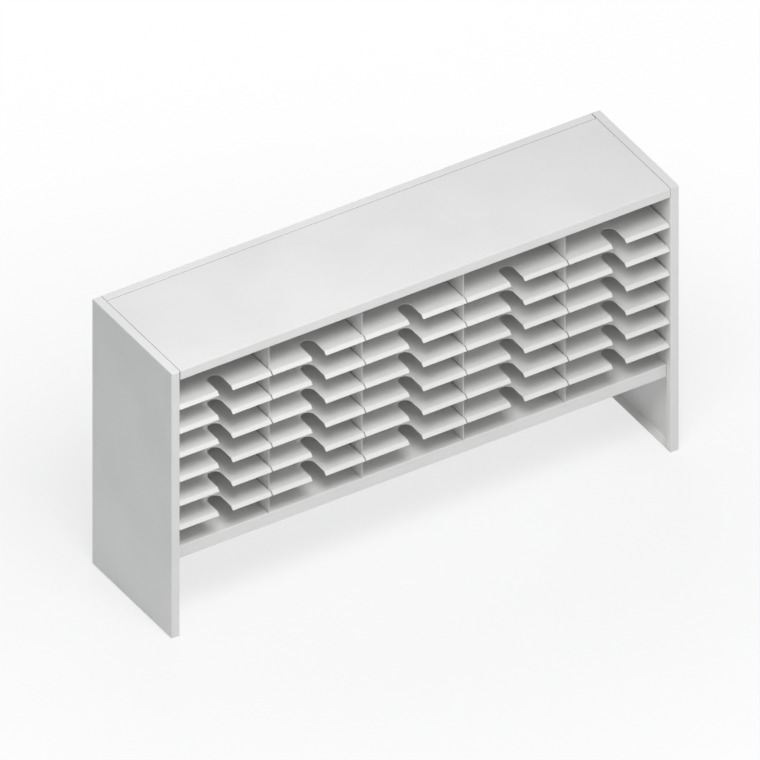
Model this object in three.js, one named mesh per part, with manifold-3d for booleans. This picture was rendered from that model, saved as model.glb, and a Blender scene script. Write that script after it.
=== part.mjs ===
import * as THREE from "three";
import { mergeVertices } from "three/addons/utils/BufferGeometryUtils.js";
import Module from "manifold-3d";

const wasm = await Module();
wasm.setup();

// Overall size in millimetres: X to the right, Y to the back, Z up, with the floor at zero.
const HEIGHT = 838.2;
const DEPTH = 381;
const END_THICKNESS = 25.4;

// Columns of pockets, from the left: two narrow ones, then three wide ones.
const NARROW_COLUMN = 279.4;
const WIDE_COLUMN = 304.8;

// Sheet metal: panels and dividers in one gauge, shelves in a lighter one.
const SHEET = 1.5;
const SHELF_SHEET = 1.2;
const BEND_RADIUS = 1.2;
const SEAM_GAP = 0.3;

// End panels, top, back and deck.
const RETURN_LIP = 18.5;
const TOP_LIP = 16;
const TOP_FLANGE = 30;
const BACK_THICKNESS = 25.4;
const BACK_RIM = 14;
const DECK_CLEARANCE = 228.6;
const DECK_FLANGE = 38.1;
const LINER_FLANGE = 14;
const LINER_RELIEF = 4;

// Shelves: the heights above the top one and below the lowest one, the tray, the sloping lip and the notch.
const TOP_POCKET = 115.2;
const LOWEST_SHELF = 75.3;
const SHELF_SIDE_GAP = 0.5;
const SHELF_BACK_GAP = 3;
const SHELF_FLANGE = 10;
const SIDE_SETBACK = 3;
const SIDE_RELIEF = 2;
const CORNER_RELIEF = 1;
const LIP_SETBACK = 9.8;
const LIP_LENGTH = 12.7;
const LIP_SLOPE_DEG = 43;
const LIP_RADIUS = 2;
const NOTCH_WIDTH = 40.6;
const NOTCH_STRAIGHT = 44.2;

// Lanced ledges that carry the shelves, and the tabs that locate the dividers, with their places as
// shares of a divider's depth or height.
const LEDGE_LENGTH = 30;
const LEDGE_REACH = 3.5;
const LEDGE_GAP = 10;
const LEDGE_SHARES = [0.23, 0.72];
const TAB_LENGTH = 25;
const TAB_STAND = 0.8;
const FOOT_TAB_SHARES = [0.2, 0.8];
const REAR_TAB_SHARES = [0.12, 0.5, 0.88];

const SHELF_ROWS = 6;
const BEND_STEPS = 3;
const NOTCH_STEPS = 12;
const MERGE_DISTANCE = 1e-4;

// Places that follow from the sizes above.
const COLUMNS = [NARROW_COLUMN, NARROW_COLUMN, WIDE_COLUMN, WIDE_COLUMN, WIDE_COLUMN];
const WIDTH = 2 * END_THICKNESS + COLUMNS.reduce((sum, pitch) => sum + pitch, 0);
const FRONT = -DEPTH / 2;
const BACK = DEPTH / 2;
const INNER_FACE = WIDTH / 2 - END_THICKNESS;
const OUTER_BEND = BEND_RADIUS + SHEET;
const FITTED_FRONT = FRONT + RETURN_LIP;
const FITTED_BACK = BACK - BACK_THICKNESS - SEAM_GAP;
const DECK_TOP = DECK_CLEARANCE + DECK_FLANGE;
const SHELF_PITCH = (HEIGHT - TOP_POCKET - DECK_TOP - LOWEST_SHELF) / (SHELF_ROWS - 1);
const LINER_FACE = INNER_FACE + SHEET + SEAM_GAP;
const UNDER_TOP = HEIGHT - SHEET - SEAM_GAP;

const powderCoat = new THREE.MeshStandardMaterial({ color: 0xecebe7, roughness: 0.5, metalness: 0.0 });
const shelfCoat = new THREE.MeshStandardMaterial({ color: 0xf1f0ec, roughness: 0.48, metalness: 0.0 });

// A closed solid from a geometry whose faces meet edge to edge.
function solidOf(geometry) {
  geometry.deleteAttribute("normal");
  geometry.deleteAttribute("uv");
  const merged = mergeVertices(geometry, MERGE_DISTANCE);
  const mesh = new wasm.Mesh({
    numProp: 3,
    vertProperties: merged.attributes.position.array,
    triVerts: new Uint32Array(merged.index.array),
  });
  return new wasm.Manifold(mesh);
}

// A box between two limits on each axis.
function block([x0, x1], [y0, y1], [z0, z1]) {
  const geometry = new THREE.BoxGeometry(x1 - x0, y1 - y0, z1 - z0);
  geometry.translate((x0 + x1) / 2, (y0 + y1) / 2, (z0 + z1) / 2);
  return solidOf(geometry);
}

// The two axes an outline is drawn on and the axis it is drawn out along.
const X_AXIS = new THREE.Vector3(1, 0, 0);
const Y_AXIS = new THREE.Vector3(0, 1, 0);
const Z_AXIS = new THREE.Vector3(0, 0, 1);
const ALONG_X = [Y_AXIS, Z_AXIS, X_AXIS];
const ALONG_Y = [Z_AXIS, X_AXIS, Y_AXIS];
const ALONG_Z = [X_AXIS, Y_AXIS, Z_AXIS];

// A prism: an outline drawn out between two limits.
function prism(axes, outline, [from, to]) {
  const shape = new THREE.Shape(outline);
  const geometry = new THREE.ExtrudeGeometry(shape, { depth: to - from, bevelEnabled: false });
  geometry.translate(0, 0, from);
  geometry.applyMatrix4(new THREE.Matrix4().makeBasis(...axes));
  return solidOf(geometry);
}

// An outline from corners [u, v, radius], with an arc at each corner that has a radius.
function rounded(corners) {
  const count = corners.length;
  return corners.flatMap(([u, v, radius = 0], index) => {
    const corner = new THREE.Vector2(u, v);
    if (radius === 0) return [corner];
    const [beforeU, beforeV] = corners[(index + count - 1) % count];
    const [afterU, afterV] = corners[(index + 1) % count];
    const toBefore = new THREE.Vector2(beforeU, beforeV).sub(corner).normalize();
    const toAfter = new THREE.Vector2(afterU, afterV).sub(corner).normalize();
    const half = Math.acos(THREE.MathUtils.clamp(toBefore.dot(toAfter), -1, 1)) / 2;
    const centre = toBefore.clone().add(toAfter).normalize();
    centre.multiplyScalar(radius / Math.sin(half)).add(corner);
    const start = toBefore.multiplyScalar(radius / Math.tan(half)).add(corner).sub(centre);
    const end = toAfter.multiplyScalar(radius / Math.tan(half)).add(corner).sub(centre);
    const sweep = Math.atan2(start.cross(end), start.dot(end));
    return Array.from({ length: BEND_STEPS + 1 }, (unused, step) =>
      start.clone().rotateAround(new THREE.Vector2(), (sweep * step) / BEND_STEPS).add(centre),
    );
  });
}

// The outline of a bent sheet. The path runs along one face, [u, v, inside radius] at each bend,
// and the thickness lies to the left of it.
function bentSheet(path, thickness) {
  const points = path.map(([u, v]) => new THREE.Vector2(u, v));
  const headings = points.slice(1).map((point, index) => point.clone().sub(points[index]).normalize());
  const lefts = headings.map((heading) => new THREE.Vector2(-heading.y, heading.x));
  const near = [];
  const far = [];
  points.forEach((point, index) => {
    const before = lefts[Math.max(index - 1, 0)];
    const after = lefts[Math.min(index, lefts.length - 1)];
    const shift = before.clone().add(after).multiplyScalar(thickness / (1 + before.dot(after)));
    const radius = path[index][2] ?? 0;
    const turn = before.cross(after);
    const nearRadius = turn > 0 ? radius + thickness : radius;
    const farRadius = turn > 0 ? radius : radius + thickness;
    near.push([point.x, point.y, turn === 0 ? 0 : nearRadius]);
    far.unshift([point.x + shift.x, point.y + shift.y, turn === 0 ? 0 : farRadius]);
  });
  return rounded([...near, ...far]);
}

// Four corners between two limits, with a radius at the low and the high end of the first axis.
function rectangle([u0, u1], [v0, v1], lowRadius = 0, highRadius = 0) {
  return rounded([
    [u0, v0, lowRadius],
    [u1, v0, highRadius],
    [u1, v1, highRadius],
    [u0, v1, lowRadius],
  ]);
}

// Limits in order, whichever side of the sorter they are on.
function span(a, b) {
  return [Math.min(a, b), Math.max(a, b)];
}

const sorter = new THREE.Group();
sorter.name = "pigeonhole_mail_sorter";

function faceted(solid) {
  const mesh = solid.getMesh();
  const geometry = new THREE.BufferGeometry();
  geometry.setAttribute("position", new THREE.BufferAttribute(mesh.vertProperties, 3));
  geometry.setIndex(new THREE.BufferAttribute(mesh.triVerts, 1));
  const facets = geometry.toNonIndexed();
  facets.computeVertexNormals();
  return facets;
}

function addPiece(group, name, geometry, material) {
  const piece = new THREE.Mesh(geometry, material);
  piece.name = name;
  group.add(piece);
  return piece;
}

const carcass = new THREE.Group();
carcass.name = "carcass";
sorter.add(carcass);

// An end panel is a pan: the outer skin is turned in all round, and its front and rear flanges are
// turned again into return lips. The space between the lips is open to the inside.
function endPanel(side) {
  const outer = (side * WIDTH) / 2;
  const inner = side * INNER_FACE;
  const skin = outer - side * SHEET;
  const lip = inner + side * SHEET;
  const lowBend = side > 0 ? 0 : OUTER_BEND;
  const highBend = side > 0 ? OUTER_BEND : 0;
  const lowCurve = side > 0 ? 0 : BEND_RADIUS;
  const highCurve = side > 0 ? BEND_RADIUS : 0;
  const plan = rectangle(span(inner, outer), [FRONT, BACK], OUTER_BEND, OUTER_BEND);
  const profile = rectangle(span(inner, outer), [0, HEIGHT], lowBend, highBend);
  const hollowPlan = rectangle(span(lip, skin), [FRONT + SHEET, BACK - SHEET], BEND_RADIUS, BEND_RADIUS);
  const hollowProfile = rectangle(span(lip, skin), [SHEET, HEIGHT - SHEET], lowCurve, highCurve);
  const turned = (outline) => outline.map((point) => new THREE.Vector2(point.y, point.x));
  const shell = prism(ALONG_Z, plan, [0, HEIGHT])
    .intersect(prism(ALONG_Y, turned(profile), [FRONT, BACK]));
  const hollow = prism(ALONG_Z, hollowPlan, [SHEET, HEIGHT - SHEET])
    .intersect(prism(ALONG_Y, turned(hollowProfile), [FRONT, BACK]));
  const middle = (skin + lip) / 2;
  const mouth = block(
    span(inner - side, middle),
    [FITTED_FRONT, BACK - RETURN_LIP],
    [SHEET, HEIGHT - SHEET],
  );
  return shell.subtract(hollow).subtract(mouth);
}

addPiece(carcass, "left_end_panel", faceted(endPanel(-1)), powderCoat);
addPiece(carcass, "right_end_panel", faceted(endPanel(1)), powderCoat);

// The top is a channel between the end panels. Its front flange has a return lip.
const topHalf = INNER_FACE - SEAM_GAP;
const topPath = [
  [FRONT + TOP_LIP, HEIGHT - TOP_FLANGE],
  [FRONT, HEIGHT - TOP_FLANGE, BEND_RADIUS],
  [FRONT, HEIGHT, BEND_RADIUS],
  [FITTED_BACK, HEIGHT, BEND_RADIUS],
  [FITTED_BACK, HEIGHT - TOP_FLANGE],
].reverse();
const topChannel = prism(ALONG_X, bentSheet(topPath, SHEET), [-topHalf, topHalf]);
addPiece(carcass, "top_panel", faceted(topChannel), powderCoat);

// Upright places of the dividers, between the columns.
const dividerPlaces = COLUMNS.slice(0, -1).map(
  (unused, index) => COLUMNS.slice(0, index + 1).reduce((sum, pitch) => sum + pitch, -INNER_FACE),
);
const dividerDepth = FITTED_BACK - FITTED_FRONT;
const dividerFoot = DECK_TOP + SEAM_GAP;
const dividerHeight = UNDER_TOP - dividerFoot;
const footTabs = FOOT_TAB_SHARES.map((share) => FITTED_FRONT + share * dividerDepth);
const rearTabs = REAR_TAB_SHARES.map((share) => dividerFoot + share * dividerHeight);
const slotWidth = SHEET + 2 * SEAM_GAP;
const slotLength = TAB_LENGTH + 2 * SEAM_GAP;

// The deck is a channel like the top, standing on the liners' bottom flanges, with a pair of slots
// for each divider's foot tabs.
const deckHalf = LINER_FACE - SEAM_GAP - BEND_RADIUS;
const deckFront = FITTED_FRONT + SEAM_GAP;
const deckPath = [
  [deckFront + RETURN_LIP, DECK_CLEARANCE],
  [deckFront, DECK_CLEARANCE, BEND_RADIUS],
  [deckFront, DECK_TOP, BEND_RADIUS],
  [FITTED_BACK, DECK_TOP, BEND_RADIUS],
  [FITTED_BACK, DECK_CLEARANCE],
].reverse();
const deckSlots = dividerPlaces.flatMap((x) =>
  footTabs.map((y) =>
    block(
      [x - slotWidth / 2, x + slotWidth / 2],
      [y - slotLength / 2, y + slotLength / 2],
      [DECK_TOP - 2 * SHEET, DECK_TOP + SHEET],
    ),
  ),
);
const deck = prism(ALONG_X, bentSheet(deckPath, SHEET), [-deckHalf, deckHalf]);
addPiece(carcass, "deck_panel", faceted(deck.subtract(wasm.Manifold.union(deckSlots))), powderCoat);

// The back is a pan with its flat face to the pockets. Its flanges are turned to the rear and in
// again, so a rim runs round it. Slots take the dividers' rear tabs.
const backHalf = INNER_FACE - SEAM_GAP;
const backFace = BACK - BACK_THICKNESS;
const backShell = prism(
  ALONG_Z,
  rectangle([-backHalf, backHalf], [backFace, BACK], OUTER_BEND, OUTER_BEND),
  [DECK_CLEARANCE, HEIGHT],
).intersect(
  prism(
    ALONG_X,
    rectangle([backFace, BACK], [DECK_CLEARANCE, HEIGHT], OUTER_BEND, OUTER_BEND),
    [-backHalf, backHalf],
  ),
);
const backHollow = prism(
  ALONG_Z,
  rectangle(
    [SHEET - backHalf, backHalf - SHEET],
    [backFace + SHEET, BACK - SHEET],
    BEND_RADIUS,
    BEND_RADIUS,
  ),
  [DECK_CLEARANCE + SHEET, HEIGHT - SHEET],
).intersect(
  prism(
    ALONG_X,
    rectangle(
      [backFace + SHEET, BACK - SHEET],
      [DECK_CLEARANCE + SHEET, HEIGHT - SHEET],
      BEND_RADIUS,
      BEND_RADIUS,
    ),
    [-backHalf, backHalf],
  ),
);
const backMouth = block(
  [BACK_RIM - backHalf, backHalf - BACK_RIM],
  [BACK - BACK_THICKNESS / 2, BACK + SHEET],
  [DECK_CLEARANCE + BACK_RIM, HEIGHT - BACK_RIM],
);
const backSlots = dividerPlaces.flatMap((x) =>
  rearTabs.map((z) =>
    block(
      [x - slotWidth / 2, x + slotWidth / 2],
      [backFace - SHEET, backFace + 2 * SHEET],
      [z - slotLength / 2, z + slotLength / 2],
    ),
  ),
);
const backPan = backShell.subtract(backHollow).subtract(backMouth);
addPiece(carcass, "back_panel", faceted(backPan.subtract(wasm.Manifold.union(backSlots))), powderCoat);

// Heights of the shelves' top faces, from the top row down.
const shelfHeights = Array.from(
  { length: SHELF_ROWS },
  (unused, row) => DECK_TOP + LOWEST_SHELF + (SHELF_ROWS - 1 - row) * SHELF_PITCH,
);

// Front to back spans of the ledges on one face. The two faces of a divider take turns.
function ledgeSpans(side) {
  const turn = side > 0 ? LEDGE_LENGTH + LEDGE_GAP : 0;
  return LEDGE_SHARES.map((share) => {
    const start = FITTED_FRONT + share * dividerDepth + turn;
    return [start, start + LEDGE_LENGTH];
  });
}

// Ledges lanced out of a sheet to one side: each leaves a window above it as tall as it is wide.
function ledges(face, side, reach) {
  const spans = ledgeSpans(side);
  return shelfHeights.flatMap((height) => {
    const top = height - SHELF_FLANGE - SEAM_GAP;
    return spans.map(([y0, y1]) => ({
      tongue: block(span(face - (side * SHEET) / 2, face + side * reach), [y0, y1], [top - SHEET, top]),
      window: [
        new THREE.Vector2(y0, top),
        new THREE.Vector2(y1, top),
        new THREE.Vector2(y1, top + reach),
        new THREE.Vector2(y0, top + reach),
      ],
    }));
  });
}

// A liner is the inside wall of an end panel beside the pockets. It sits behind the return lips, and
// its top and bottom flanges carry the top and the deck.
function liner(side) {
  const low = DECK_CLEARANCE - SEAM_GAP - SHEET;
  const rear = LINER_FACE + SHEET;
  const flangeEnd = LINER_FACE - LINER_FLANGE;
  const channel = bentSheet(
    [
      [low, flangeEnd],
      [low, rear, BEND_RADIUS],
      [UNDER_TOP, rear, BEND_RADIUS],
      [UNDER_TOP, flangeEnd],
    ].reverse(),
    SHEET,
  ).map((point) => new THREE.Vector2(point.x, side * point.y));
  const tongues = ledges(side * LINER_FACE, -side, LEDGE_REACH + SHEET + SEAM_GAP);
  const edge = SHEET + BEND_RADIUS + SEAM_GAP;
  const wall = prism(
    ALONG_X,
    rectangle([FRONT + edge, BACK - edge], [low + OUTER_BEND, UNDER_TOP - OUTER_BEND]),
    span(side * LINER_FACE, side * rear),
  );
  const flanged = prism(ALONG_Y, channel, [FITTED_FRONT + LINER_RELIEF, FITTED_BACK - edge]);
  const windows = tongues.map(({ window }) =>
    prism(ALONG_X, window, span(side * (LINER_FACE - SHEET), side * (rear + SHEET))),
  );
  const sheet = wall.add(flanged).subtract(wasm.Manifold.union(windows));
  return wasm.Manifold.union([sheet, ...tongues.map(({ tongue }) => tongue)]);
}

addPiece(carcass, "left_liner", faceted(liner(-1)), powderCoat);
addPiece(carcass, "right_liner", faceted(liner(1)), powderCoat);

// The edge of a divider with its tabs, as corners of the outline in Y and Z.
function dividerOutline() {
  const tabFoot = DECK_TOP - SHEET - TAB_STAND;
  const tabRear = FITTED_BACK + SEAM_GAP + SHEET + TAB_STAND;
  const half = TAB_LENGTH / 2;
  const notchY = FITTED_BACK - SHEET - BEND_RADIUS - SEAM_GAP;
  const notchZ = HEIGHT - TOP_FLANGE - SEAM_GAP;
  const corners = [
    [FITTED_FRONT, dividerFoot],
    ...footTabs.flatMap((y) => [
      [y - half, dividerFoot],
      [y - half, tabFoot],
      [y + half, tabFoot],
      [y + half, dividerFoot],
    ]),
    [FITTED_BACK, dividerFoot],
    ...rearTabs.flatMap((z) => [
      [FITTED_BACK, z - half],
      [tabRear, z - half],
      [tabRear, z + half],
      [FITTED_BACK, z + half],
    ]),
    [FITTED_BACK, notchZ],
    [notchY, notchZ],
    [notchY, UNDER_TOP],
    [FITTED_FRONT, UNDER_TOP],
  ];
  return corners.map(([y, z]) => new THREE.Vector2(y, z));
}

// A divider is one flat sheet between deck, back and top, with ledges lanced out to both sides.
function divider() {
  const half = SHEET / 2;
  const tongues = [...ledges(-half, -1, LEDGE_REACH), ...ledges(half, 1, LEDGE_REACH)];
  const windows = tongues.map(({ window }) => prism(ALONG_X, window, [-SHEET, SHEET]));
  const sheet = prism(ALONG_X, dividerOutline(), [-half, half]).subtract(wasm.Manifold.union(windows));
  return wasm.Manifold.union([sheet, ...tongues.map(({ tongue }) => tongue)]);
}

const dividerGeometry = faceted(divider());
dividerPlaces.forEach((x, index) => {
  const piece = addPiece(carcass, `divider_${index + 1}`, dividerGeometry, powderCoat);
  piece.position.x = x;
});

// A shelf is a shallow tray with its top face at zero height: flanges are turned down at the sides
// and the rear, the front edge slopes down as a lip, and a thumb notch is cut in from the front.
function shelf(width) {
  const half = width / 2;
  const bendLine = FRONT + LIP_SETBACK;
  const slope = THREE.MathUtils.degToRad(LIP_SLOPE_DEG);
  const tip = bendLine - LIP_LENGTH * Math.cos(slope);
  const drop = LIP_LENGTH * Math.sin(slope);
  const rear = FITTED_BACK - SHELF_BACK_GAP;
  const sideStart = FITTED_FRONT + SIDE_SETBACK;
  const fold = SHELF_SHEET + BEND_RADIUS + CORNER_RELIEF;
  const profile = bentSheet(
    [
      [rear, -SHELF_FLANGE],
      [rear, 0, BEND_RADIUS],
      [bendLine, 0, LIP_RADIUS],
      [tip, -drop],
    ],
    SHELF_SHEET,
  );
  const sideProfile = bentSheet(
    [
      [0, half - 2 * fold],
      [0, half, BEND_RADIUS],
      [-SHELF_FLANGE, half],
    ],
    SHELF_SHEET,
  );
  const sheet = prism(ALONG_X, profile, [-half, half]);
  const cuts = [];
  const flanges = [];
  [-1, 1].forEach((side) => {
    const turned = sideProfile.map((point) => new THREE.Vector2(point.x, side * point.y));
    const beside = span(side * (half - fold), side * (half + fold));
    cuts.push(block(beside, [sideStart, rear + fold], [-2 * SHELF_FLANGE, SHELF_FLANGE]));
    flanges.push(prism(ALONG_Y, turned, [sideStart + SIDE_RELIEF, rear - fold]));
  });
  const radius = NOTCH_WIDTH / 2;
  const arc = Array.from({ length: NOTCH_STEPS + 1 }, (unused, step) => {
    const angle = (Math.PI * step) / NOTCH_STEPS;
    return new THREE.Vector2(
      radius * Math.cos(angle),
      bendLine + NOTCH_STRAIGHT + radius * Math.sin(angle),
    );
  });
  const mouth = tip - LIP_LENGTH;
  const notchOutline = [new THREE.Vector2(-radius, mouth), new THREE.Vector2(radius, mouth), ...arc];
  const notch = prism(ALONG_Z, notchOutline, [-2 * SHELF_FLANGE, SHELF_FLANGE]);
  const trimmed = sheet.subtract(wasm.Manifold.union(cuts));
  return wasm.Manifold.union([trimmed, ...flanges]).subtract(notch);
}

// Columns from the left, rows from the top. Every shelf of one column width is the same piece.
const shelfGeometries = new Map();
COLUMNS.forEach((pitch, index) => {
  if (!shelfGeometries.has(pitch)) {
    shelfGeometries.set(pitch, faceted(shelf(pitch - SHEET - 2 * SHELF_SIDE_GAP)));
  }
  const left = index === 0 ? -INNER_FACE : dividerPlaces[index - 1] + SHEET / 2;
  const right = index === COLUMNS.length - 1 ? INNER_FACE : dividerPlaces[index] - SHEET / 2;
  const column = new THREE.Group();
  column.name = `column_${index + 1}`;
  column.position.x = (left + right) / 2;
  sorter.add(column);
  shelfHeights.forEach((height, row) => {
    const name = `shelf_c${index + 1}_r${row + 1}`;
    const piece = addPiece(column, name, shelfGeometries.get(pitch), shelfCoat);
    piece.position.z = height;
  });
});

export default sorter;
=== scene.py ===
import math

import bmesh
import bpy
from mathutils import Euler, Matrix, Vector


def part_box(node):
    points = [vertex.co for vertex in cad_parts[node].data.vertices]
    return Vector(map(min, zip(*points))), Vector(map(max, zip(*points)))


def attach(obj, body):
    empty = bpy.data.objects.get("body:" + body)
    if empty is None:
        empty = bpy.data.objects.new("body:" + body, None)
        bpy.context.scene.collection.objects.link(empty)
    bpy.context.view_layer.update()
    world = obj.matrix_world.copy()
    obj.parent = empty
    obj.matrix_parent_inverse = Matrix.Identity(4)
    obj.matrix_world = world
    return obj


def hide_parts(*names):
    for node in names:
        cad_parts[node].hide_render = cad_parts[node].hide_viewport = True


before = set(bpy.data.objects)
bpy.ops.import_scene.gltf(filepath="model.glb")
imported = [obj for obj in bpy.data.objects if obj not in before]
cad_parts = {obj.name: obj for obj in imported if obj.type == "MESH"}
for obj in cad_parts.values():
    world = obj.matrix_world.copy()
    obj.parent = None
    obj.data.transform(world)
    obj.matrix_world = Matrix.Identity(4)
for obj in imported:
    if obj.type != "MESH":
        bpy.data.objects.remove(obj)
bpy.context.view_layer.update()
scene = bpy.context.scene

# Viewpoint: the drawing is a true parallel projection from the front left, looking down on the sorter.
# The aim is given along the picture's own right and up, in metres from the sorter's origin.
VIEW_AZIMUTH = math.radians(-32.05)
VIEW_ELEVATION = math.radians(36.56)
VIEW_WIDTH = 1.9342
VIEW_AIM = (-0.0140, 0.3217)
VIEW_DISTANCE = 6.0
VIEW_REACH = 60.0

view_turn = Euler((math.pi / 2 - VIEW_ELEVATION, 0.0, VIEW_AZIMUTH))
view_place = view_turn.to_matrix() @ Vector((*VIEW_AIM, VIEW_DISTANCE))
bpy.ops.object.select_all(action="DESELECT")
bpy.ops.object.camera_add(location=view_place, rotation=view_turn)
camera = bpy.context.object
camera.name = "drawing_view"
camera.data.type = "ORTHO"
camera.data.ortho_scale = VIEW_WIDTH
camera.data.clip_end = VIEW_REACH
scene.camera = camera
scene.view_settings.view_transform = "Standard"

# Lamps: a broad soft key lamp hangs over the front left, and two weaker lamps open the shadows.
# The fill lamp stands to the right of the sorter. The rear lamp stands behind it and lights its back.
KEY_PLACE = (-0.8, -1.7, 3.7)
KEY_TARGET = (0.0, 0.0, 0.4)
KEY_SIZE = (1.8, 1.4)
KEY_POWER = 80.0
FILL_PLACE = (3.2, -2.6, 1.6)
FILL_TARGET = (0.2, 0.0, 0.4)
FILL_SIZE = (1.6, 1.6)
FILL_POWER = 14.0
REAR_PLACE = (1.3, 3.3, 0.95)
REAR_TARGET = (0.0, 0.0, 0.5)
REAR_SIZE = (2.4, 1.2)
REAR_POWER = 40.0


def aim_lamp(name, place, target, size, power):
    """An area lamp at a place, turned to face a target."""
    turn = (Vector(target) - Vector(place)).to_track_quat("-Z", "Y").to_euler()
    bpy.ops.object.light_add(type="AREA", location=place, rotation=turn)
    lamp = bpy.context.object
    lamp.name = name
    lamp.data.shape = "RECTANGLE"
    lamp.data.size = size[0]
    lamp.data.size_y = size[1]
    lamp.data.energy = power


aim_lamp("key_lamp", KEY_PLACE, KEY_TARGET, KEY_SIZE, KEY_POWER)
aim_lamp("fill_lamp", FILL_PLACE, FILL_TARGET, FILL_SIZE, FILL_POWER)
aim_lamp("rear_lamp", REAR_PLACE, REAR_TARGET, REAR_SIZE, REAR_POWER)

# Floor: a pale matte sheet that runs out to white, so the sorter stands on white as it is drawn.
# Close to the sorter more of the matte paint shows, and the sorter's shadow falls on that.
FLOOR_SIZE = 60.0
FLOOR_DROP = 0.0005
FLOOR_COLOUR = (0.90, 0.90, 0.90, 1.0)
FLOOR_NEAR = 0.55
FLOOR_FAR = 1.9
FLOOR_WHITE_NEAR = 0.66
FLOOR_WHITE_FAR = 0.97
WHITE_STRENGTH = 1.0


def seen_or_mirrored(nodes, links):
    """One where the camera sees a surface, straight or by way of a reflection or a clear piece."""
    path = nodes.new("ShaderNodeLightPath")
    mirrored = nodes.new("ShaderNodeMath")
    mirrored.operation = "MAXIMUM"
    links.new(path.outputs["Is Glossy Ray"], mirrored.inputs[0])
    links.new(path.outputs["Is Transmission Ray"], mirrored.inputs[1])
    seen = nodes.new("ShaderNodeMath")
    seen.operation = "MAXIMUM"
    links.new(path.outputs["Is Camera Ray"], seen.inputs[0])
    links.new(mirrored.outputs[0], seen.inputs[1])
    return seen


def add_range(nodes, source, result):
    """A node that carries values between two limits over to two other limits."""
    change = nodes.new("ShaderNodeMapRange")
    change.inputs["From Min"].default_value = source[0]
    change.inputs["From Max"].default_value = source[1]
    change.inputs["To Min"].default_value = result[0]
    change.inputs["To Max"].default_value = result[1]
    return change


def floor_finish():
    """Matte paint that gives way to plain white with the distance from the sorter."""
    paint = bpy.data.materials.new("studio_floor_paint")
    paint.use_nodes = True
    nodes = paint.node_tree.nodes
    links = paint.node_tree.links
    nodes.clear()
    matte = nodes.new("ShaderNodeBsdfDiffuse")
    matte.inputs["Color"].default_value = FLOOR_COLOUR
    glow = nodes.new("ShaderNodeEmission")
    glow.inputs["Strength"].default_value = WHITE_STRENGTH
    place = nodes.new("ShaderNodeTexCoord")
    reach = nodes.new("ShaderNodeVectorMath")
    reach.operation = "LENGTH"
    fade = add_range(nodes, (FLOOR_NEAR, FLOOR_FAR), (FLOOR_WHITE_NEAR, FLOOR_WHITE_FAR))
    fade.interpolation_type = "SMOOTHSTEP"
    links.new(place.outputs["Object"], reach.inputs[0])
    links.new(reach.outputs["Value"], fade.inputs["Value"])
    share = nodes.new("ShaderNodeMath")
    share.operation = "MULTIPLY"
    links.new(seen_or_mirrored(nodes, links).outputs[0], share.inputs[0])
    links.new(fade.outputs["Result"], share.inputs[1])
    mix = nodes.new("ShaderNodeMixShader")
    links.new(share.outputs[0], mix.inputs["Fac"])
    links.new(matte.outputs[0], mix.inputs[1])
    links.new(glow.outputs[0], mix.inputs[2])
    surface = nodes.new("ShaderNodeOutputMaterial")
    links.new(mix.outputs[0], surface.inputs["Surface"])
    return paint


bpy.ops.object.select_all(action="DESELECT")
bpy.ops.mesh.primitive_plane_add(size=FLOOR_SIZE, location=(0.0, 0.0, -FLOOR_DROP))
floor = bpy.context.object
floor.name = "studio_floor"
bpy.ops.object.transform_apply(location=True, rotation=False, scale=False)
floor.data.materials.append(floor_finish())

# Surround: an even, faintly cool room light all round the sorter.
# To the camera and in reflections it is plain white, like the paper of the drawing.
SURROUND_LIGHT = (0.93, 0.96, 1.0, 1.0)
SURROUND_STRENGTH = 0.42
SURROUND_WHITE = (1.0, 1.0, 1.0, 1.0)

surround = bpy.data.worlds.new("white_surround")
surround.use_nodes = True
scene.world = surround
room_nodes = surround.node_tree.nodes
room_links = surround.node_tree.links
room_nodes.clear()
room_light = room_nodes.new("ShaderNodeBackground")
room_light.inputs["Color"].default_value = SURROUND_LIGHT
room_light.inputs["Strength"].default_value = SURROUND_STRENGTH
room_white = room_nodes.new("ShaderNodeBackground")
room_white.inputs["Color"].default_value = SURROUND_WHITE
room_white.inputs["Strength"].default_value = WHITE_STRENGTH
room_mix = room_nodes.new("ShaderNodeMixShader")
room_links.new(seen_or_mirrored(room_nodes, room_links).outputs[0], room_mix.inputs["Fac"])
room_links.new(room_light.outputs[0], room_mix.inputs[1])
room_links.new(room_white.outputs[0], room_mix.inputs[2])
room_out = room_nodes.new("ShaderNodeOutputWorld")
room_links.new(room_mix.outputs[0], room_out.inputs["Surface"])

# End panels: each is one sheet of steel folded into a shallow pan, 25 mm deep, standing the full height.
# The front and rear flanges are folded once more into return lips, and the corners are welded and ground.
# All the carcass has one baked powder coat, a warm white with a fine orange-peel skin.
X, Y, Z = 0, 1, 2
NEAR = 1e-5
SLIVER = 1e-6
SQUARE_ON = 0.9
PANEL_SHEET = 0.0015
PANEL_BEND = 0.0027
BEND_STEPS = 5
INWARDS = -1.0
RETURN_LIP = 0.0185
LIP_RELIEF = 0.0045
EDGE_BREAK = 0.0005
EDGE_STEPS = 2
EDGE_ANGLE = math.radians(50)
SMOOTH_ANGLE = math.radians(32)
FLAT_WEIGHT = 50
ROUND_PROFILE = 0.5


def corners_of(node):
    """The lowest and highest corners of a solid."""
    low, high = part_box(node)
    return Vector(low), Vector(high)


def start_box(name, low, high):
    """A box between two corners, ready to be folded and cut."""
    bpy.ops.object.select_all(action="DESELECT")
    middle = (Vector(low) + Vector(high)) / 2
    size = Vector(high) - Vector(low)
    bpy.ops.mesh.primitive_cube_add(size=1.0, location=middle, scale=size)
    piece = bpy.context.object
    piece.name = name
    piece.data.name = name
    bpy.ops.object.transform_apply(location=True, rotation=True, scale=True)
    return piece


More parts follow.
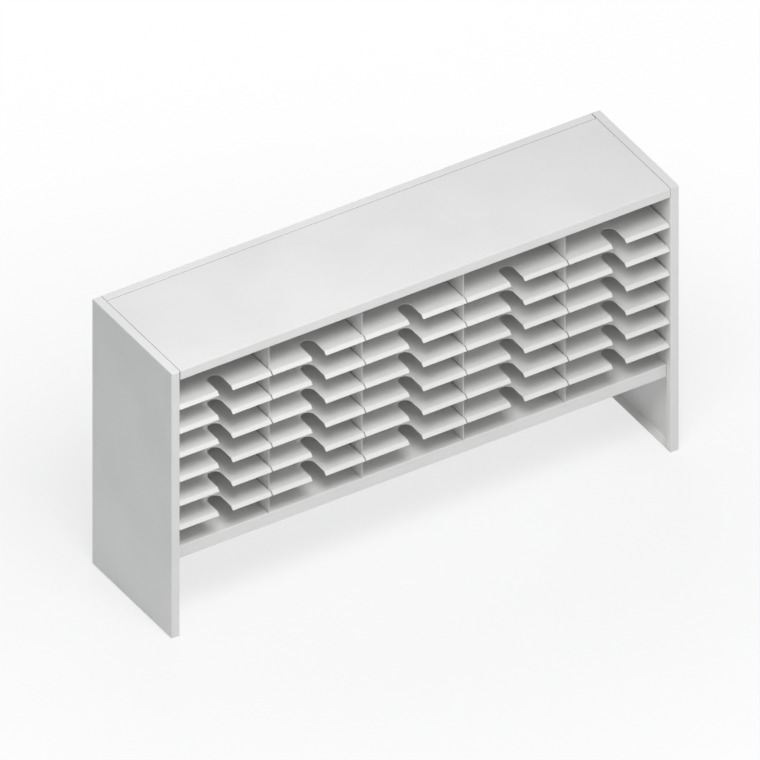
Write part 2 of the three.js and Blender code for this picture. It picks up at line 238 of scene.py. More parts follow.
def pick_out(piece):
    """Select one piece alone and make it the active one."""
    bpy.ops.object.select_all(action="DESELECT")
    piece.select_set(True)
    bpy.context.view_layer.objects.active = piece


def edit(piece):
    """Open a piece for shaping, with nothing else selected."""
    pick_out(piece)
    bpy.ops.object.mode_set(mode="EDIT")


def done():
    """Close the piece that is being shaped."""
    bpy.ops.object.mode_set(mode="OBJECT")


def lies_at(a, b, axis, place):
    """True where both ends of an edge lie at a place along an axis."""
    return abs(a[axis] - place) < NEAR and abs(b[axis] - place) < NEAR


def lies_within(a, b, axis, low, high):
    """True where both ends of an edge lie within a stretch of an axis."""
    return min(a[axis], b[axis]) > low - NEAR and max(a[axis], b[axis]) < high + NEAR


def pick_edges(piece, test):
    """Select the edges whose two ends pass a test."""
    bpy.ops.mesh.select_mode(type="EDGE")
    bpy.ops.mesh.select_all(action="DESELECT")
    mesh = bmesh.from_edit_mesh(piece.data)
    for edge in mesh.edges:
        edge.select_set(bool(test(edge.verts[0].co, edge.verts[1].co)))
    bmesh.update_edit_mesh(piece.data)


def pick_faces(piece, test):
    """Select the faces whose middle and normal pass a test."""
    bpy.ops.mesh.select_mode(type="FACE")
    bpy.ops.mesh.select_all(action="DESELECT")
    mesh = bmesh.from_edit_mesh(piece.data)
    mesh.normal_update()
    for face in mesh.faces:
        face.select_set(bool(test(face.calc_center_median(), face.normal)))
    bmesh.update_edit_mesh(piece.data)


def score(axis, place):
    """Score the whole sheet along a plane across one axis."""
    point = [0.0, 0.0, 0.0]
    point[axis] = place
    normal = [0.0, 0.0, 0.0]
    normal[axis] = 1.0
    bpy.ops.mesh.select_all(action="SELECT")
    bpy.ops.mesh.bisect(plane_co=point, plane_no=normal, use_fill=False)


def fold(piece, test, move):
    """Draw a flange out from the edges that pass a test."""
    pick_edges(piece, test)
    bpy.ops.mesh.extrude_region_move(TRANSFORM_OT_translate={"value": move})


def round_bends(piece, test, radius):
    """Turn sharp folds into press-brake bends."""
    pick_edges(piece, test)
    bpy.ops.mesh.bevel(offset=radius, segments=BEND_STEPS, profile=ROUND_PROFILE, affect="EDGES")


def face_towards(piece, place, direction):
    """Make the faces of a folded sheet agree, the one nearest a place facing a given way."""
    bpy.ops.mesh.select_all(action="SELECT")
    bpy.ops.mesh.normals_make_consistent(inside=False)
    mesh = bmesh.from_edit_mesh(piece.data)
    nearest = min(mesh.faces, key=lambda face: (face.calc_center_median() - Vector(place)).length)
    if nearest.normal.dot(Vector(direction)) < 0:
        bpy.ops.mesh.flip_normals()


def apply_modifier(piece, kind, **settings):
    """Add a modifier with its settings and apply it."""
    pick_out(piece)
    modifier = piece.modifiers.new(kind.lower(), kind)
    for setting, value in settings.items():
        setattr(modifier, setting, value)
    bpy.ops.object.modifier_apply(modifier=modifier.name)


def thicken(piece, sheet):
    """Give a folded sheet its thickness, inwards from its outer face."""
    apply_modifier(piece, "SOLIDIFY", thickness=sheet, offset=INWARDS, use_even_offset=True)


def break_edges(piece, width=EDGE_BREAK):
    """Take the sharpness off the cut edges, smooth the bends and keep the flat sheet shaded flat."""
    apply_modifier(
        piece,
        "BEVEL",
        width=width,
        segments=EDGE_STEPS,
        limit_method="ANGLE",
        angle_limit=EDGE_ANGLE,
    )
    edit(piece)
    bpy.ops.mesh.select_all(action="SELECT")
    bpy.ops.mesh.dissolve_degenerate(threshold=SLIVER)
    done()
    bpy.ops.object.shade_smooth_by_angle(angle=SMOOTH_ANGLE)
    apply_modifier(piece, "WEIGHTED_NORMAL", mode="FACE_AREA", weight=FLAT_WEIGHT, keep_sharp=True)


PANEL_WHITE = (0.80, 0.795, 0.775, 1.0)
PANEL_ROUGHNESS = 0.46
PANEL_HAZE = (9.0, 9.0, 9.0)
COAT_SPECULAR = 0.45
DRIFT_SCALE = 5.0
DRIFT_DETAIL = 3.0
DRIFT_SHADE = 0.955
DRIFT_LIMITS = (0.30, 0.62)
# Painted shade in the seams: how far the occlusion test looks, how sheltered a spot must be, and how dark
# it is painted.
SEAM_SHADE_SAMPLES = 8
SEAM_SHADE_REACH = 0.004
SEAM_SHADE_SHELTER = (0.30, 0.80)
SEAM_SHADE_TONE = 0.50
HAZE_SCALE = 1.0
HAZE_DETAIL = 4.0
HAZE_LIMITS = (0.25, 0.75)
HAZE_SWING = 0.07
PEEL_SCALE = 420.0
PEEL_DETAIL = 2.0
PEEL_STRENGTH = 0.75
PEEL_HEIGHT = 0.0004


def add_noise(nodes, scale, detail):
    """A cloudy pattern of a given fineness."""
    noise = nodes.new("ShaderNodeTexNoise")
    noise.inputs["Scale"].default_value = scale
    noise.inputs["Detail"].default_value = detail
    return noise


def powder_coat(name, colour, roughness, haze_stretch):
    """Baked powder coat: a slow drift in its white, painted shade in the seams and corners, cloudy gloss,
    orange-peel skin.
    """
    paint = bpy.data.materials.new(name)
    paint.use_nodes = True
    nodes = paint.node_tree.nodes
    links = paint.node_tree.links
    shader = nodes["Principled BSDF"]
    shader.inputs["Specular IOR Level"].default_value = COAT_SPECULAR
    place = nodes.new("ShaderNodeTexCoord")

    drift = add_noise(nodes, DRIFT_SCALE, DRIFT_DETAIL)
    tone = nodes.new("ShaderNodeValToRGB")
    shaded = (*(DRIFT_SHADE * channel for channel in colour[:3]), 1.0)
    for stop, position, stop_colour in zip(tone.color_ramp.elements, DRIFT_LIMITS, (shaded, colour)):
        stop.position = position
        stop.color = stop_colour
    links.new(place.outputs["Object"], drift.inputs["Vector"])
    links.new(drift.outputs["Fac"], tone.inputs["Fac"])

    # Painted shade: an occlusion test darkens the colour in seams and inside corners, where shade falls,
    # down to half at the deepest.
    seam_occlusion = nodes.new("ShaderNodeAmbientOcclusion")
    seam_occlusion.samples = SEAM_SHADE_SAMPLES
    seam_occlusion.inputs["Distance"].default_value = SEAM_SHADE_REACH
    seam_shade = add_range(nodes, SEAM_SHADE_SHELTER, (SEAM_SHADE_TONE, 1.0))
    seam_shaded_colour = nodes.new("ShaderNodeVectorMath")
    seam_shaded_colour.operation = "SCALE"
    links.new(seam_occlusion.outputs["AO"], seam_shade.inputs["Value"])
    links.new(tone.outputs["Color"], seam_shaded_colour.inputs[0])
    links.new(seam_shade.outputs["Result"], seam_shaded_colour.inputs["Scale"])
    links.new(seam_shaded_colour.outputs["Vector"], shader.inputs["Base Color"])

    stretch = nodes.new("ShaderNodeMapping")
    stretch.inputs["Scale"].default_value = haze_stretch
    haze = add_noise(nodes, HAZE_SCALE, HAZE_DETAIL)
    gloss = add_range(nodes, HAZE_LIMITS, (roughness - HAZE_SWING, roughness + HAZE_SWING))
    links.new(place.outputs["Object"], stretch.inputs["Vector"])
    links.new(stretch.outputs["Vector"], haze.inputs["Vector"])
    links.new(haze.outputs["Fac"], gloss.inputs["Value"])
    links.new(gloss.outputs["Result"], shader.inputs["Roughness"])

    peel = add_noise(nodes, PEEL_SCALE, PEEL_DETAIL)
    bump = nodes.new("ShaderNodeBump")
    bump.inputs["Strength"].default_value = PEEL_STRENGTH
    bump.inputs["Distance"].default_value = PEEL_HEIGHT
    links.new(place.outputs["Object"], peel.inputs["Vector"])
    links.new(peel.outputs["Fac"], bump.inputs["Height"])
    links.new(bump.outputs["Normal"], shader.inputs["Normal"])
    return paint


def hand_over(piece, paint, body, slot, *nodes):
    """Paint a finished piece and put it in the place of its solids."""
    piece.data.materials.clear()
    piece.data.materials.append(paint)
    if nodes:
        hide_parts(*nodes)
    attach(piece, body)


def form_end_panel(name, node, side):
    """One end panel, folded at the place of its solid. The side is -1 on the left and 1 on the right."""
    low, high = corners_of(node)
    outer = high.x if side > 0 else low.x
    inner = low.x if side > 0 else high.x
    lip_low = low.z + LIP_RELIEF
    lip_high = high.z - LIP_RELIEF

    def lip_root(a, b):
        """The inner upright edges of the flanges, where the return lips fold off."""
        on_corner = lies_at(a, b, X, inner) and (lies_at(a, b, Y, low.y) or lies_at(a, b, Y, high.y))
        return on_corner and lies_within(a, b, Z, lip_low, lip_high)

    def pan_bend(a, b):
        """Every fold of the pan, with its ground corners."""
        ends_y = lies_at(a, b, Y, low.y) or lies_at(a, b, Y, high.y)
        ends_z = lies_at(a, b, Z, low.z) or lies_at(a, b, Z, high.z)
        if lies_at(a, b, X, outer):
            return ends_y or ends_z
        return (ends_y and ends_z) or lip_root(a, b)

    panel = start_box(name, low, high)
    edit(panel)
    pick_faces(panel, lambda middle, normal: normal.x * side < -SQUARE_ON)
    bpy.ops.mesh.delete(type="ONLY_FACE")
    score(Z, lip_low)
    score(Z, lip_high)
    fold(panel, lambda a, b: lip_root(a, b) and a.y < 0, (0.0, RETURN_LIP, 0.0))
    fold(panel, lambda a, b: lip_root(a, b) and a.y > 0, (0.0, -RETURN_LIP, 0.0))
    round_bends(panel, pan_bend, PANEL_BEND)
    face_towards(panel, (outer, 0.0, high.z / 2), (side, 0.0, 0.0))
    done()
    thicken(panel, PANEL_SHEET)
    break_edges(panel)
    return panel


panel_paint = powder_coat("panel_powder_coat", PANEL_WHITE, PANEL_ROUGHNESS, PANEL_HAZE)

for side, node in ((-1, "left_end_panel"), (1, "right_end_panel")):
    panel = form_end_panel(node + "_pan", node, side)
    hand_over(panel, panel_paint, "carcass", "panel_coat", node)

# Liners: a flat steel sheet closes each end panel beside the pockets, tucked behind the return lips.
# Its top and bottom are flanged inwards, and the shelf ledges are lanced out of it and bent level.
# The ledges of a shelf's two sides are staggered, as they are on the dividers.
LINER_SHEET = 0.0015
LINER_FOLD = 0.0012
LINER_RELIEF = 0.004
SEAT_GAP = 0.0003
SHELF_ROWS = 6
SHELF_FLANGE = 0.010
LEDGE_LENGTH = 0.030
LEDGE_REACH = 0.0035
LEDGE_SHARES = (0.23, 0.72)
LEDGE_SPACING = 0.010
LINER_LEDGE = LEDGE_REACH + LINER_SHEET + SEAT_GAP
LEDGE_DROP = SHELF_FLANGE + SEAT_GAP
SHEET_TURN = {X: (0.0, math.pi / 2, 0.0), Z: (0.0, 0.0, 0.0)}

fitted_front = corners_of("divider_1")[0].y
fitted_rear = corners_of("top_panel")[1].y
clear_of_top = fitted_rear - PANEL_BEND - SEAT_GAP
left_ledges = [fitted_front + share * (fitted_rear - fitted_front) for share in LEDGE_SHARES]
right_ledges = [start + LEDGE_LENGTH + LEDGE_SPACING for start in left_ledges]
ledge_tops = [corners_of("shelf_c1_r%d" % row)[1].z - LEDGE_DROP for row in range(1, SHELF_ROWS + 1)]


def start_sheet(name, axis, low, high):
    """A flat upright or level sheet across one axis between two corners, ready to be folded and cut."""
    bpy.ops.object.select_all(action="DESELECT")
    middle = (Vector(low) + Vector(high)) / 2
    size = Vector(high) - Vector(low)
    bpy.ops.mesh.primitive_plane_add(size=1.0, location=middle, rotation=SHEET_TURN[axis])
    piece = bpy.context.object
    piece.name = name
    piece.data.name = name
    bpy.ops.object.transform_apply(location=False, rotation=True, scale=False)
    piece.scale = [length if length > NEAR else 1.0 for length in size]
    bpy.ops.object.transform_apply(location=True, rotation=True, scale=True)
    return piece


def ledge_stretch(place, starts):
    """True where a place front to back falls within one of the ledges."""
    return any(start < place < start + LEDGE_LENGTH for start in starts)


def score_ledges(starts, sheet, window):
    """Score the lines that the ledges and their windows are cut along."""
    for start in starts:
        score(Y, start)
        score(Y, start + LEDGE_LENGTH)
    for top in ledge_tops:
        score(Z, top - sheet)
        score(Z, top)
        score(Z, top + window)


def cut_windows(piece, starts, window):
    """Open the window that each ledge leaves above it in the sheet."""

    def in_window(middle, normal):
        """The bits of sheet over the ledges."""
        return ledge_stretch(middle.y, starts) and any(top < middle.z < top + window for top in ledge_tops)

    pick_faces(piece, in_window)
    bpy.ops.mesh.delete(type="FACE")


def bend_ledges(piece, starts, sheet, side, reach):
    """Draw the ledges out of the strip of sheet below their windows, to one side."""

    def in_strip(middle, normal):
        """The faces of the strips that look to that side."""
        level = any(top - sheet < middle.z < top for top in ledge_tops)
        return level and ledge_stretch(middle.y, starts) and normal.x * side > SQUARE_ON

    pick_faces(piece, in_strip)
    bpy.ops.mesh.extrude_region_move(TRANSFORM_OT_translate={"value": (side * reach, 0.0, 0.0)})


def form_liner(name, node, side, ledge_starts):
    """One liner, folded and lanced at the place of its solid."""
    low, high = corners_of(node)
    tip = low.x if side > 0 else high.x
    web = high.x - LINER_SHEET if side > 0 else low.x + LINER_SHEET
    foot = low.z + LINER_SHEET
    head = high.z - LINER_SHEET
    flange_front = fitted_front + LINER_RELIEF

    def liner_fold(a, b):
        """The top and bottom edges of the sheet between the reliefs."""
        at_end = lies_at(a, b, Z, foot) or lies_at(a, b, Z, head)
        return at_end and lies_at(a, b, X, web) and lies_within(a, b, Y, flange_front, clear_of_top)

    liner = start_sheet(name, X, (web, low.y, foot), (web, high.y, head))
    edit(liner)
    score(Y, flange_front)
    score(Y, clear_of_top)
    score_ledges(ledge_starts, LINER_SHEET, LINER_LEDGE)
    cut_windows(liner, ledge_starts, LINER_LEDGE)
    fold(liner, liner_fold, (tip - web, 0.0, 0.0))
    round_bends(liner, liner_fold, LINER_FOLD)
    face_towards(liner, (web, low.y, foot), (-side, 0.0, 0.0))
    done()
    thicken(liner, LINER_SHEET)
    edit(liner)
    bend_ledges(liner, ledge_starts, LINER_SHEET, -side, LINER_LEDGE)
    done()
    break_edges(liner)
    return liner


for side, node, ledge_starts in ((-1, "left_liner", right_ledges), (1, "right_liner", left_ledges)):
    liner = form_liner(node + "_sheet", node, side, ledge_starts)
    hand_over(liner, panel_paint, "carcass", "panel_coat", node)

# Deck: the steel channel that carries the bottom pockets, 38 mm deep, between the two end panels.
# Its front flange ends in a return lip, and short slots in its flat top take the feet of the dividers.
DECK_SHEET = 0.0015
DECK_LIP = 0.0185
DIVIDER_COUNT = 4
DIVIDER_SHEET = 0.0015
TAB_LENGTH = 0.025
FOOT_TAB_SHARES = (0.2, 0.8)
SLOT_WIDTH = DIVIDER_SHEET + 2 * SEAT_GAP
SLOT_LENGTH = TAB_LENGTH + 2 * SEAT_GAP
SLOT_DEPTH = 0.010

divider_places = []
for number in range(1, DIVIDER_COUNT + 1):
    low, high = corners_of("divider_%d" % number)
    divider_places.append((low.x + high.x) / 2)
foot_tabs = [fitted_front + share * (fitted_rear - fitted_front) for share in FOOT_TAB_SHARES]


def fold_channel(name, low, high, lip, sheet):
    """A channel open below, with a return lip along the foot of its front flange."""
    drop = (0.0, 0.0, low.z - high.z)

    def front_foot(a, b):
        """The lower edge of the front flange."""
        return lies_at(a, b, Y, low.y) and lies_at(a, b, Z, low.z)

    def channel_bend(a, b):
        """The two upper bends and the bend of the return lip."""
        upper = lies_at(a, b, Z, high.z) and (lies_at(a, b, Y, low.y) or lies_at(a, b, Y, high.y))
        return upper or front_foot(a, b)

    channel = start_sheet(name, Z, (low.x, low.y, high.z), (high.x, high.y, high.z))
    edit(channel)
    fold(channel, lambda a, b: lies_at(a, b, Y, low.y), drop)
    fold(channel, lambda a, b: lies_at(a, b, Y, high.y), drop)
    fold(channel, front_foot, (0.0, lip, 0.0))
    round_bends(channel, channel_bend, PANEL_BEND)
    face_towards(channel, (0.0, 0.0, high.z), (0.0, 0.0, 1.0))
    done()
    thicken(channel, sheet)
    return channel


def cut_away(piece, cutters):
    """Cut the shapes of the cutters out of a piece and throw the cutters away."""
    tool = cutters[0]
    pick_out(tool)
    for cutter in cutters[1:]:
        cutter.select_set(True)
    if len(cutters) > 1:
        bpy.ops.object.join()
    apply_modifier(piece, "BOOLEAN", operation="DIFFERENCE", solver="EXACT", object=tool)
    bpy.data.objects.remove(tool, do_unlink=True)


def slot_punch(middle, size):
    """A plain punch for one slot."""
    half = Vector(size) / 2
    return start_box("slot_punch", Vector(middle) - half, Vector(middle) + half)


deck_low, deck_high = corners_of("deck_panel")
deck = fold_channel("deck_channel", deck_low, deck_high, DECK_LIP, DECK_SHEET)
punches = []
for place_x in divider_places:
    for place_y in foot_tabs:
        punches.append(slot_punch((place_x, place_y, deck_high.z), (SLOT_WIDTH, SLOT_LENGTH, SLOT_DEPTH)))
cut_away(deck, punches)
break_edges(deck)
hand_over(deck, panel_paint, "carcass", "panel_coat", "deck_panel")

# Back: a flat steel pan behind the pockets, with its flat face forwards and its rim turned in at the rear.
# It is cut a hair short so that it drops in between the end panels, which leaves a fine dark seam.
# The dividers' rear tabs come through its slots, where they are plug-welded.
BACK_SHEET = 0.0015
BACK_RIM = 0.014
CORNER_MERGE = 0.00005
REAR_TAB_SHARES = (0.12, 0.5, 0.88)
SEAM_REVEAL = 0.0009

divider_foot = deck_high.z + SEAT_GAP
divider_head = corners_of("divider_1")[1].z
rear_tabs = [divider_foot + share * (divider_head - divider_foot) for share in REAR_TAB_SHARES]
back_low, back_high = corners_of("back_panel")
back_low.x += SEAM_REVEAL
back_high.x -= SEAM_REVEAL


def form_back(name, low, high):
    """The back between two corners, folded, welded at its corners and slotted."""
    centre = (low + high) / 2

    def pan_edge(a, b):
        """Every edge of the pan's own box."""
        flat_ways = 0
        for axis in (X, Y, Z):
            if lies_at(a, b, axis, low[axis]) or lies_at(a, b, axis, high[axis]):
                flat_ways += 1
        return flat_ways == 2

    def inside_rim(middle, normal):
        """The face that the rim leaves in the middle of the rear."""
        aside = Vector((middle.x - centre.x, middle.z - centre.z))
        return normal.y > SQUARE_ON and aside.length < BACK_RIM

    back = start_box(name, low, high)
    edit(back)
    pick_faces(back, lambda middle, normal: normal.y > SQUARE_ON)
    bpy.ops.mesh.inset(thickness=BACK_RIM, depth=0.0)
    pick_faces(back, inside_rim)
    bpy.ops.mesh.delete(type="FACE")
    round_bends(back, pan_edge, PANEL_BEND)
    face_towards(back, (centre.x, low.y, centre.z), (0.0, -1.0, 0.0))
    done()
    thicken(back, BACK_SHEET)
    # Inside a corner the inner faces of three bends draw in almost to a point, so they are merged there.
    edit(back)
    bpy.ops.mesh.select_all(action="SELECT")
    bpy.ops.mesh.remove_doubles(threshold=CORNER_MERGE)
    done()
    punches = []
    for place_x in divider_places:
        for place_z in rear_tabs:
            punches.append(slot_punch((place_x, low.y, place_z), (SLOT_WIDTH, SLOT_DEPTH, SLOT_LENGTH)))
    cut_away(back, punches)
    break_edges(back)
    return back


back = form_back("back_pan", back_low, back_high)
hand_over(back, panel_paint, "carcass", "panel_coat", "back_panel")

# Dividers: flat upright sheets between the columns. Tabs at the foot and the rear sit in the slots.
# Ledges for the shelves are lanced out to both sides, and the two sides' ledges take turns front to back.
# The upper rear corner is notched to clear the top's rear flange.
DIVIDER_BREAK = 0.0003

notch_above = corners_of("top_panel")[0].z - SEAT_GAP


def in_tab(a, b, axis, middles):
    """True where an edge lies within one of the tabs along an axis."""
    return any(lies_within(a, b, axis, place - TAB_LENGTH / 2, place + TAB_LENGTH / 2) for place in middles)


def form_divider(name, node):
    """One divider, cut and lanced at the place of its solid."""
    low, high = corners_of(node)
    face_x = (low.x + high.x + DIVIDER_SHEET) / 2
    all_ledges = left_ledges + right_ledges
    divider = start_sheet(name, X, (face_x, low.y, divider_foot), (face_x, fitted_rear, high.z))
    edit(divider)
    score_ledges(all_ledges, DIVIDER_SHEET, LEDGE_REACH)
    score(Y, clear_of_top)
    score(Z, notch_above)
    for axis, middles in ((Y, foot_tabs), (Z, rear_tabs)):
        for place in middles:
            score(axis, place - TAB_LENGTH / 2)
            score(axis, place + TAB_LENGTH / 2)
    pick_faces(divider, lambda middle, normal: middle.y > clear_of_top and middle.z > notch_above)
    bpy.ops.mesh.delete(type="FACE")
    fold(
        divider,
        lambda a, b: lies_at(a, b, Z, divider_foot) and in_tab(a, b, Y, foot_tabs),
        (0.0, 0.0, low.z - divider_foot),
    )
    fold(
        divider,
        lambda a, b: lies_at(a, b, Y, fitted_rear) and in_tab(a, b, Z, rear_tabs),
        (0.0, high.y - fitted_rear, 0.0),
    )
    cut_windows(divider, all_ledges, LEDGE_REACH)
    face_towards(divider, (face_x, low.y, divider_foot), (1.0, 0.0, 0.0))
    done()
    thicken(divider, DIVIDER_SHEET)
    edit(divider)
    bend_ledges(divider, left_ledges, DIVIDER_SHEET, -1, LEDGE_REACH)
    bend_ledges(divider, right_ledges, DIVIDER_SHEET, 1, LEDGE_REACH)
    done()
    break_edges(divider, DIVIDER_BREAK)
    return divider


def copy_along(piece, name, move):
    """A copy of a finished piece with a mesh of its own, moved to its place."""
    pick_out(piece)
    bpy.ops.object.duplicate_move(TRANSFORM_OT_translate={"value": move})
    copy = bpy.context.object
    copy.name = name
    copy.data.name = name
    bpy.ops.object.transform_apply(location=True, rotation=False, scale=False)
    return copy


first_divider = form_divider("divider_1_sheet", "divider_1")
dividers = [first_divider]
for number in range(2, DIVIDER_COUNT + 1):
    aside = divider_places[number - 1] - divider_places[0]
    dividers.append(copy_along(first_divider, "divider_%d_sheet" % number, (aside, 0.0, 0.0)))
for number, divider in enumerate(dividers, start=1):
    hand_over(divider, panel_paint, "carcass", "panel_coat", "divider_%d" % number)

# Top: a channel of the same steel, flush with the end panels, dropped in between them last.
# Its deep front flange ends in a return lip, and its rear flange hooks down in front of the back.
TOP_SHEET = 0.0015
TOP_LIP = 0.016

top_low, top_high = corners_of("top_panel")
top_low.x += SEAM_REVEAL
top_high.x -= SEAM_REVEAL
top_high.y -= SEAM_REVEAL
top = fold_channel("top_channel", top_low, top_high, TOP_LIP, TOP_SHEET)
break_edges(top)
hand_over(top, panel_paint, "carcass", "panel_coat", "top_panel")

# Shelves: thinner steel trays, turned down at the sides and rear, that rest on the ledges and pull out.
# The front slopes down to a blunt lip, and a U-shaped thumb notch is punched through shelf and lip.
# Their coat is a shade whiter and glossier than the carcass's, from a batch of its own.
SHELF_COLUMNS = 5
WIDTH_DIGITS = 4
SHELF_SHEET = 0.0012
SHELF_FOLD = 2 * SHELF_SHEET
SHELF_BREAK = 0.00025
SIDE_SETBACK = 0.003
SIDE_RELIEF = 0.002
CORNER_RELIEF = 0.001
LIP_SETBACK = 0.0098
LIP_FALL = 0.00866
LIP_BEND = 0.0013
NOTCH_HALF = 0.0203
NOTCH_STRAIGHT = 0.0442
NOTCH_STEPS = 14
NOTCH_ROUND = 0.9995
PUNCH_START = 0.06
PUNCH_HALF = 0.03
SHELF_WHITE = (0.81, 0.805, 0.785, 1.0)
SHELF_ROUGHNESS = 0.42
SHELF_HAZE = (40.0, 4.0, 9.0)

lip_line = corners_of("left_end_panel")[0].y + LIP_SETBACK
notch_end = lip_line + NOTCH_STRAIGHT + NOTCH_HALF


def notch_punch(middle_x, top_z):
    """A punch with a half-round end for the thumb notch."""
    punch = start_box(
        "thumb_notch_punch",
        (middle_x - NOTCH_HALF, lip_line - PUNCH_START, top_z - PUNCH_HALF),
        (middle_x + NOTCH_HALF, notch_end, top_z + PUNCH_HALF),
    )
    edit(punch)
    pick_edges(punch, lambda a, b: lies_at(a, b, Y, notch_end) and abs(a.z - b.z) > PUNCH_HALF)
    # The two roundings stop just short of each other, so the end is half round and has no double points.
    bpy.ops.mesh.bevel(
        offset=NOTCH_ROUND * NOTCH_HALF,
        segments=NOTCH_STEPS,
        profile=ROUND_PROFILE,
        affect="EDGES",
    )
    done()
    return punch


def form_shelf(name, node):
    """One shelf, folded and punched at the place of its solid."""
    low, high = corners_of(node)
    middle_x = (low.x + high.x) / 2
    half = (high.x - low.x) / 2
    top_z = high.z
    relief = SHELF_FOLD + CORNER_RELIEF
    side_front = fitted_front + SIDE_SETBACK
    side_rear = side_front + SIDE_RELIEF

    def in_relief(middle, normal):
        """The corners cut away so that the flanges fold freely."""
        beside = abs(middle.x - middle_x) > half - relief
        return beside and (side_front < middle.y < side_rear or middle.y > high.y - relief)

    def side_fold(a, b):
        """The two side edges between their reliefs."""
        at_side = lies_at(a, b, X, low.x) or lies_at(a, b, X, high.x)
        between_reliefs = lies_within(a, b, Y, side_rear, high.y - relief)
        return at_side and between_reliefs and lies_at(a, b, Z, top_z)

    def rear_fold(a, b):
        """The rear edge."""
        return lies_at(a, b, Y, high.y) and lies_at(a, b, Z, top_z)

    def lip_fold(a, b):
        """The front edge, where the lip starts."""
        return lies_at(a, b, Y, lip_line) and lies_at(a, b, Z, top_z)

    shelf = start_sheet(name, Z, (low.x, lip_line, top_z), (high.x, high.y, top_z))
    edit(shelf)
    score(X, low.x + relief)
    score(X, high.x - relief)
    score(Y, side_front)
    score(Y, side_rear)
    score(Y, high.y - relief)
    pick_faces(shelf, in_relief)
    bpy.ops.mesh.delete(type="FACE")
    fold(shelf, side_fold, (0.0, 0.0, -SHELF_FLANGE))
    fold(shelf, rear_fold, (0.0, 0.0, -SHELF_FLANGE))
    fold(shelf, lip_fold, (0.0, low.y - lip_line, -LIP_FALL))
    round_bends(shelf, lambda a, b: side_fold(a, b) or rear_fold(a, b), SHELF_FOLD)
    round_bends(shelf, lip_fold, LIP_BEND)
    face_towards(shelf, (middle_x, 0.0, top_z), (0.0, 0.0, 1.0))
    done()
    thicken(shelf, SHELF_SHEET)
    cut_away(shelf, [notch_punch(middle_x, top_z)])
    break_edges(shelf, SHELF_BREAK)
    return shelf


shelf_paint = powder_coat("shelf_powder_coat", SHELF_WHITE, SHELF_ROUGHNESS, SHELF_HAZE)

shelves = {}
first_shelves = {}
for column in range(1, SHELF_COLUMNS + 1):
    for row in range(1, SHELF_ROWS + 1):
        node = "shelf_c%d_r%d" % (column, row)
        low, high = corners_of(node)
        # Shelves whose widths agree to a tenth of a millimetre are alike.
        width = round(high.x - low.x, WIDTH_DIGITS)
        if width in first_shelves:
            first_shelf, first_low = first_shelves[width]
            shelves[node] = copy_along(first_shelf, node + "_tray", low - first_low)
        else:
            shelves[node] = form_shelf(node + "_tray", node)
            first_shelves[width] = (shelves[node], low)
for node, shelf in shelves.items():
    hand_over(shelf, shelf_paint, node, "shelf_coat", node)

# Plug welds: short rippled beads over the ends of the divider tabs, behind the back and under the deck.
# They are made before the paint, so the same powder coat covers them.
BEAD_LENGTH = 0.027
BEAD_WIDTH = 0.0042
BEAD_HEIGHT = 0.0016
BEAD_SUNK = 0.0004
BEAD_RIPPLES = 9
BEAD_WAIST = 0.84
BEAD_TIP = 0.4
BEAD_SMOOTHING = 2


def lay_bead(name, middle, along, out, outwards):
    """One bead along an axis, standing proud of the sheet it is laid on."""
    low = [place - BEAD_WIDTH / 2 for place in middle]
    high = [place + BEAD_WIDTH / 2 for place in middle]
    low[along] = middle[along] - BEAD_LENGTH / 2
    high[along] = middle[along] + BEAD_LENGTH / 2
    low[out], high[out] = sorted((middle[out] - outwards * BEAD_SUNK, middle[out] + outwards * BEAD_HEIGHT))
    bead = start_box(name, low, high)
    edit(bead)
    rings = 2 * BEAD_RIPPLES
    levels = [low[along] + BEAD_LENGTH * ring / rings for ring in range(rings + 1)]
    for level in levels[1:-1]:
        score(along, level)
    for ring, level in enumerate(levels):
        swell = 1.0 if ring % 2 else BEAD_WAIST
        if ring in (0, rings):
            swell = BEAD_TIP
        stretch = [swell, swell, swell]
        stretch[along] = 1.0
        pick_edges(bead, lambda a, b: lies_at(a, b, along, level))
        bpy.ops.transform.resize(value=stretch, center_override=middle)
    done()
    apply_modifier(bead, "SUBSURF", levels=BEAD_SMOOTHING, render_levels=BEAD_SMOOTHING)
    bpy.ops.object.shade_smooth()
    return bead


def lay_row(word, places, along, out, outwards):
    """A bead at each place: the first is laid there, and the others are copied from it."""
    first_bead = lay_bead(word + "_1", places[0], along, out, outwards)
    row = [first_bead]
    for number, place in enumerate(places[1:], start=2):
        move = Vector(place) - Vector(places[0])
        row.append(copy_along(first_bead, "%s_%d" % (word, number), move))
    return row


back_face = back_low.y + BACK_SHEET
deck_face = deck_high.z - DECK_SHEET
rear_tab_ends = [(place_x, back_face, place_z) for place_x in divider_places for place_z in rear_tabs]
foot_tab_ends = [(place_x, place_y, deck_face) for place_x in divider_places for place_y in foot_tabs]
back_welds = lay_row("back_weld", rear_tab_ends, Z, Y, 1)
deck_welds = lay_row("deck_weld", foot_tab_ends, Y, Z, -1)
for bead in back_welds + deck_welds:
    hand_over(bead, panel_paint, "carcass", "panel_coat")

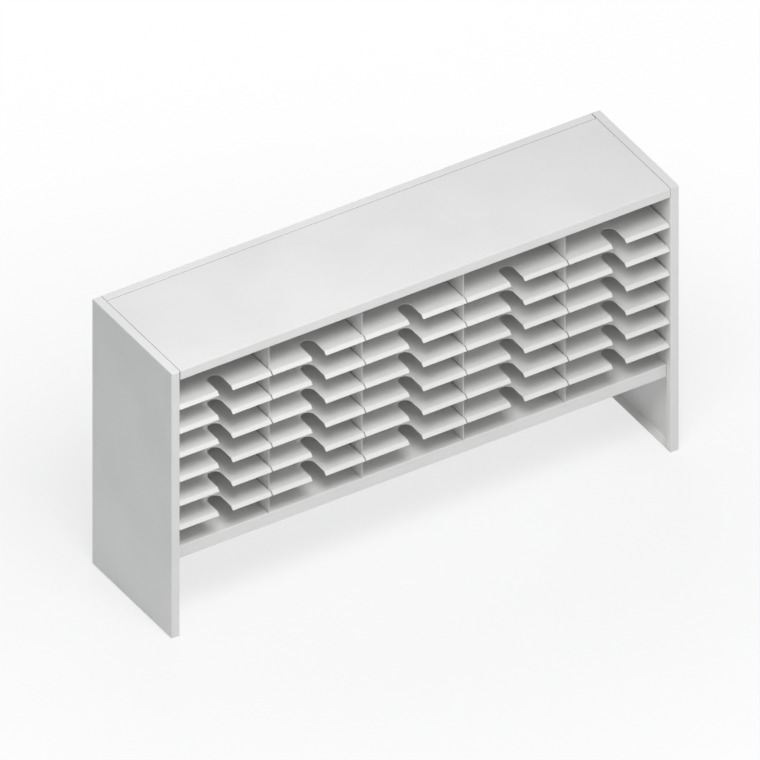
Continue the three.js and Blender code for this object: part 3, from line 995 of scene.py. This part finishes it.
# Screws: pan heads with a cross recess, driven up through the liners' flanges into the top and the deck.
# Their heads are coated with the rest, and show only from inside the top pockets and from below.
HEAD_RADIUS = 0.0042
HEAD_HEIGHT = 0.0026
HEAD_SIDES = 32
HEAD_DOME = 0.62
HEAD_STEPS = 6
HEAD_BREAK = 0.00012
RECESS_LENGTH = 0.0046
RECESS_WIDTH = 0.0011
RECESS_DEPTH = 0.0013
SCREW_INSET = 0.0058
DECK_SCREW_SETBACK = 0.0112
TOP_SCREW_SPACING = 0.130


def turn_screw(name, x, y, face):
    """One screw head under a flange, domed below and recessed."""
    bpy.ops.object.select_all(action="DESELECT")
    bpy.ops.mesh.primitive_cylinder_add(
        vertices=HEAD_SIDES,
        radius=HEAD_RADIUS,
        depth=HEAD_HEIGHT,
        location=(x, y, face - HEAD_HEIGHT / 2),
    )
    screw = bpy.context.object
    screw.name = name
    screw.data.name = name
    bpy.ops.object.transform_apply(location=True, rotation=True, scale=True)
    head_end = face - HEAD_HEIGHT
    edit(screw)
    pick_edges(screw, lambda a, b: lies_at(a, b, Z, head_end))
    bpy.ops.mesh.bevel(
        offset=HEAD_DOME * HEAD_HEIGHT,
        segments=HEAD_STEPS,
        profile=ROUND_PROFILE,
        affect="EDGES",
    )
    done()
    for size_x, size_y in ((RECESS_LENGTH, RECESS_WIDTH), (RECESS_WIDTH, RECESS_LENGTH)):
        cut_away(screw, [slot_punch((x, y, head_end), (size_x, size_y, 2 * RECESS_DEPTH))])
    break_edges(screw, HEAD_BREAK)
    return screw


liner_low, liner_high = corners_of("right_liner")
screw_x = liner_low.x + SCREW_INSET
screw_y = deck_low.y + DECK_SCREW_SETBACK
to_top_flange = liner_high.z - LINER_SHEET - liner_low.z
first_screw = turn_screw("deck_screw_right", screw_x, screw_y, liner_low.z)
screws = [first_screw, copy_along(first_screw, "deck_screw_left", (-2 * screw_x, 0.0, 0.0))]
for word, across in (("right", 0.0), ("left", -2 * screw_x)):
    for number, place_y in enumerate((-TOP_SCREW_SPACING, 0.0, TOP_SCREW_SPACING), start=1):
        move = (across, place_y - screw_y, to_top_flange)
        screws.append(copy_along(first_screw, "top_screw_%s_%d" % (word, number), move))
for screw in screws:
    hand_over(screw, panel_paint, "carcass", "panel_coat")
